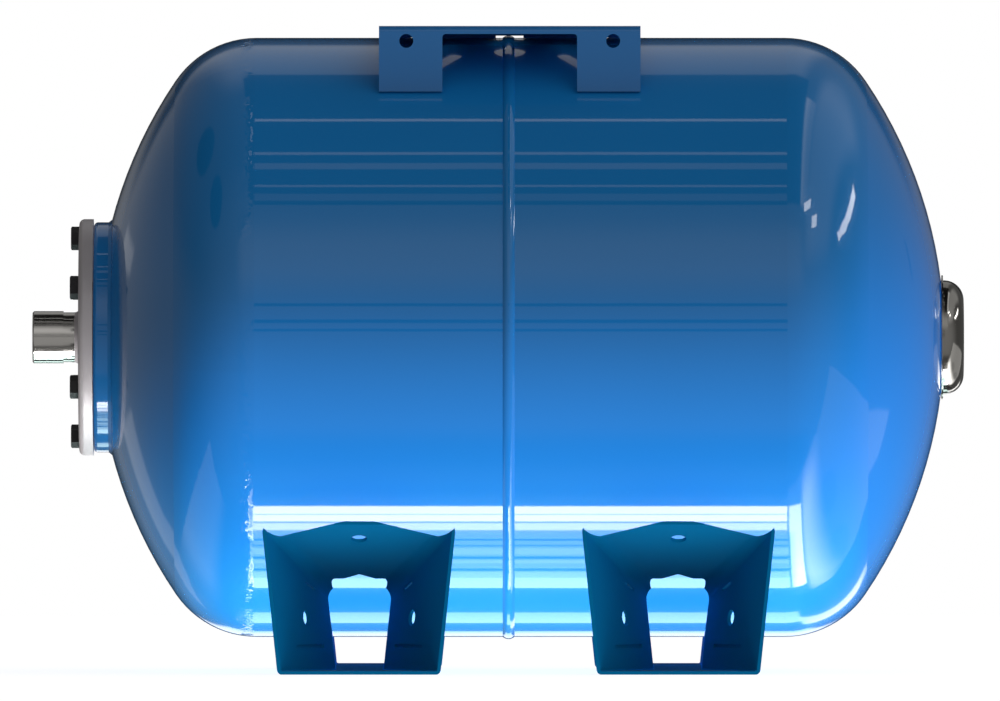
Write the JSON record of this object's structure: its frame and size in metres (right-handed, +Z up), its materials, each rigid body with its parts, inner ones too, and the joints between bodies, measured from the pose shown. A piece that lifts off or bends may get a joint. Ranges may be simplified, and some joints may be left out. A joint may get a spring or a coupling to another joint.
{
  "type": "well pressure tank",
  "caption": "Horizontal bladder pressure tank for a well pump: dished blue vessel on flared saddles, pump bracket on top, bolted water flange at one end, air valve at the other.",
  "frame": {"origin": "on the floor, at the centre of the four floor bolt holes", "axes": "+X along the vessel from the water flange to the air valve, +Z up, -Y towards the open side of the pump bracket"},
  "size_m": [0.5905, 0.3828, 0.4084],
  "materials": {
    "blue_paint": "gloss paint",
    "zinc_plate": "satin zinc plate",
    "nipple_steel": "turned steel",
    "black_steel": "black oxide",
    "bare_steel": "bare steel",
    "polished_steel": "polished",
    "valve_brass": "turned brass",
    "bag_rubber": "moulded rubber",
    "seal_rubber": "matt",
    "cap_plastic": "moulded plastic"
  },
  "bodies": {
    "vessel": {"inlet_end_shell": "blue_paint", "valve_end_shell": "blue_paint", "girth_weld": "blue_paint", "neck_collar": "blue_paint", "collar_weld": "blue_paint", "bladder": "bag_rubber", "inlet_flange": "zinc_plate", "inlet_nipple": "nipple_steel", "nipple_weld": "zinc_plate", "flange_bolts": "black_steel", "valve_boss": "bare_steel", "boss_weld": "blue_paint", "valve_gasket": "seal_rubber", "air_valve_body": "valve_brass", "valve_core": "valve_brass", "valve_cap": "cap_plastic", "cap_seal": "seal_rubber", "valve_cover": "polished_steel", "cover_ring": "bare_steel", "inlet_end_foot": "blue_paint", "inlet_end_foot_welds": "blue_paint", "valve_end_foot": "blue_paint", "valve_end_foot_welds": "blue_paint", "pump_bracket": "blue_paint", "bracket_welds": "blue_paint"},
    "pin": {"valve_pin": "valve_brass", "pin_seal": "seal_rubber"}
  },
  "joints": [
    {"name": "valve_pin_press", "type": "slide", "parent": "vessel", "child": "pin", "axis": [-1, 0, 0], "range_m": [0, 0.0012], "stiffness_N_per_m": 300}
  ]
}
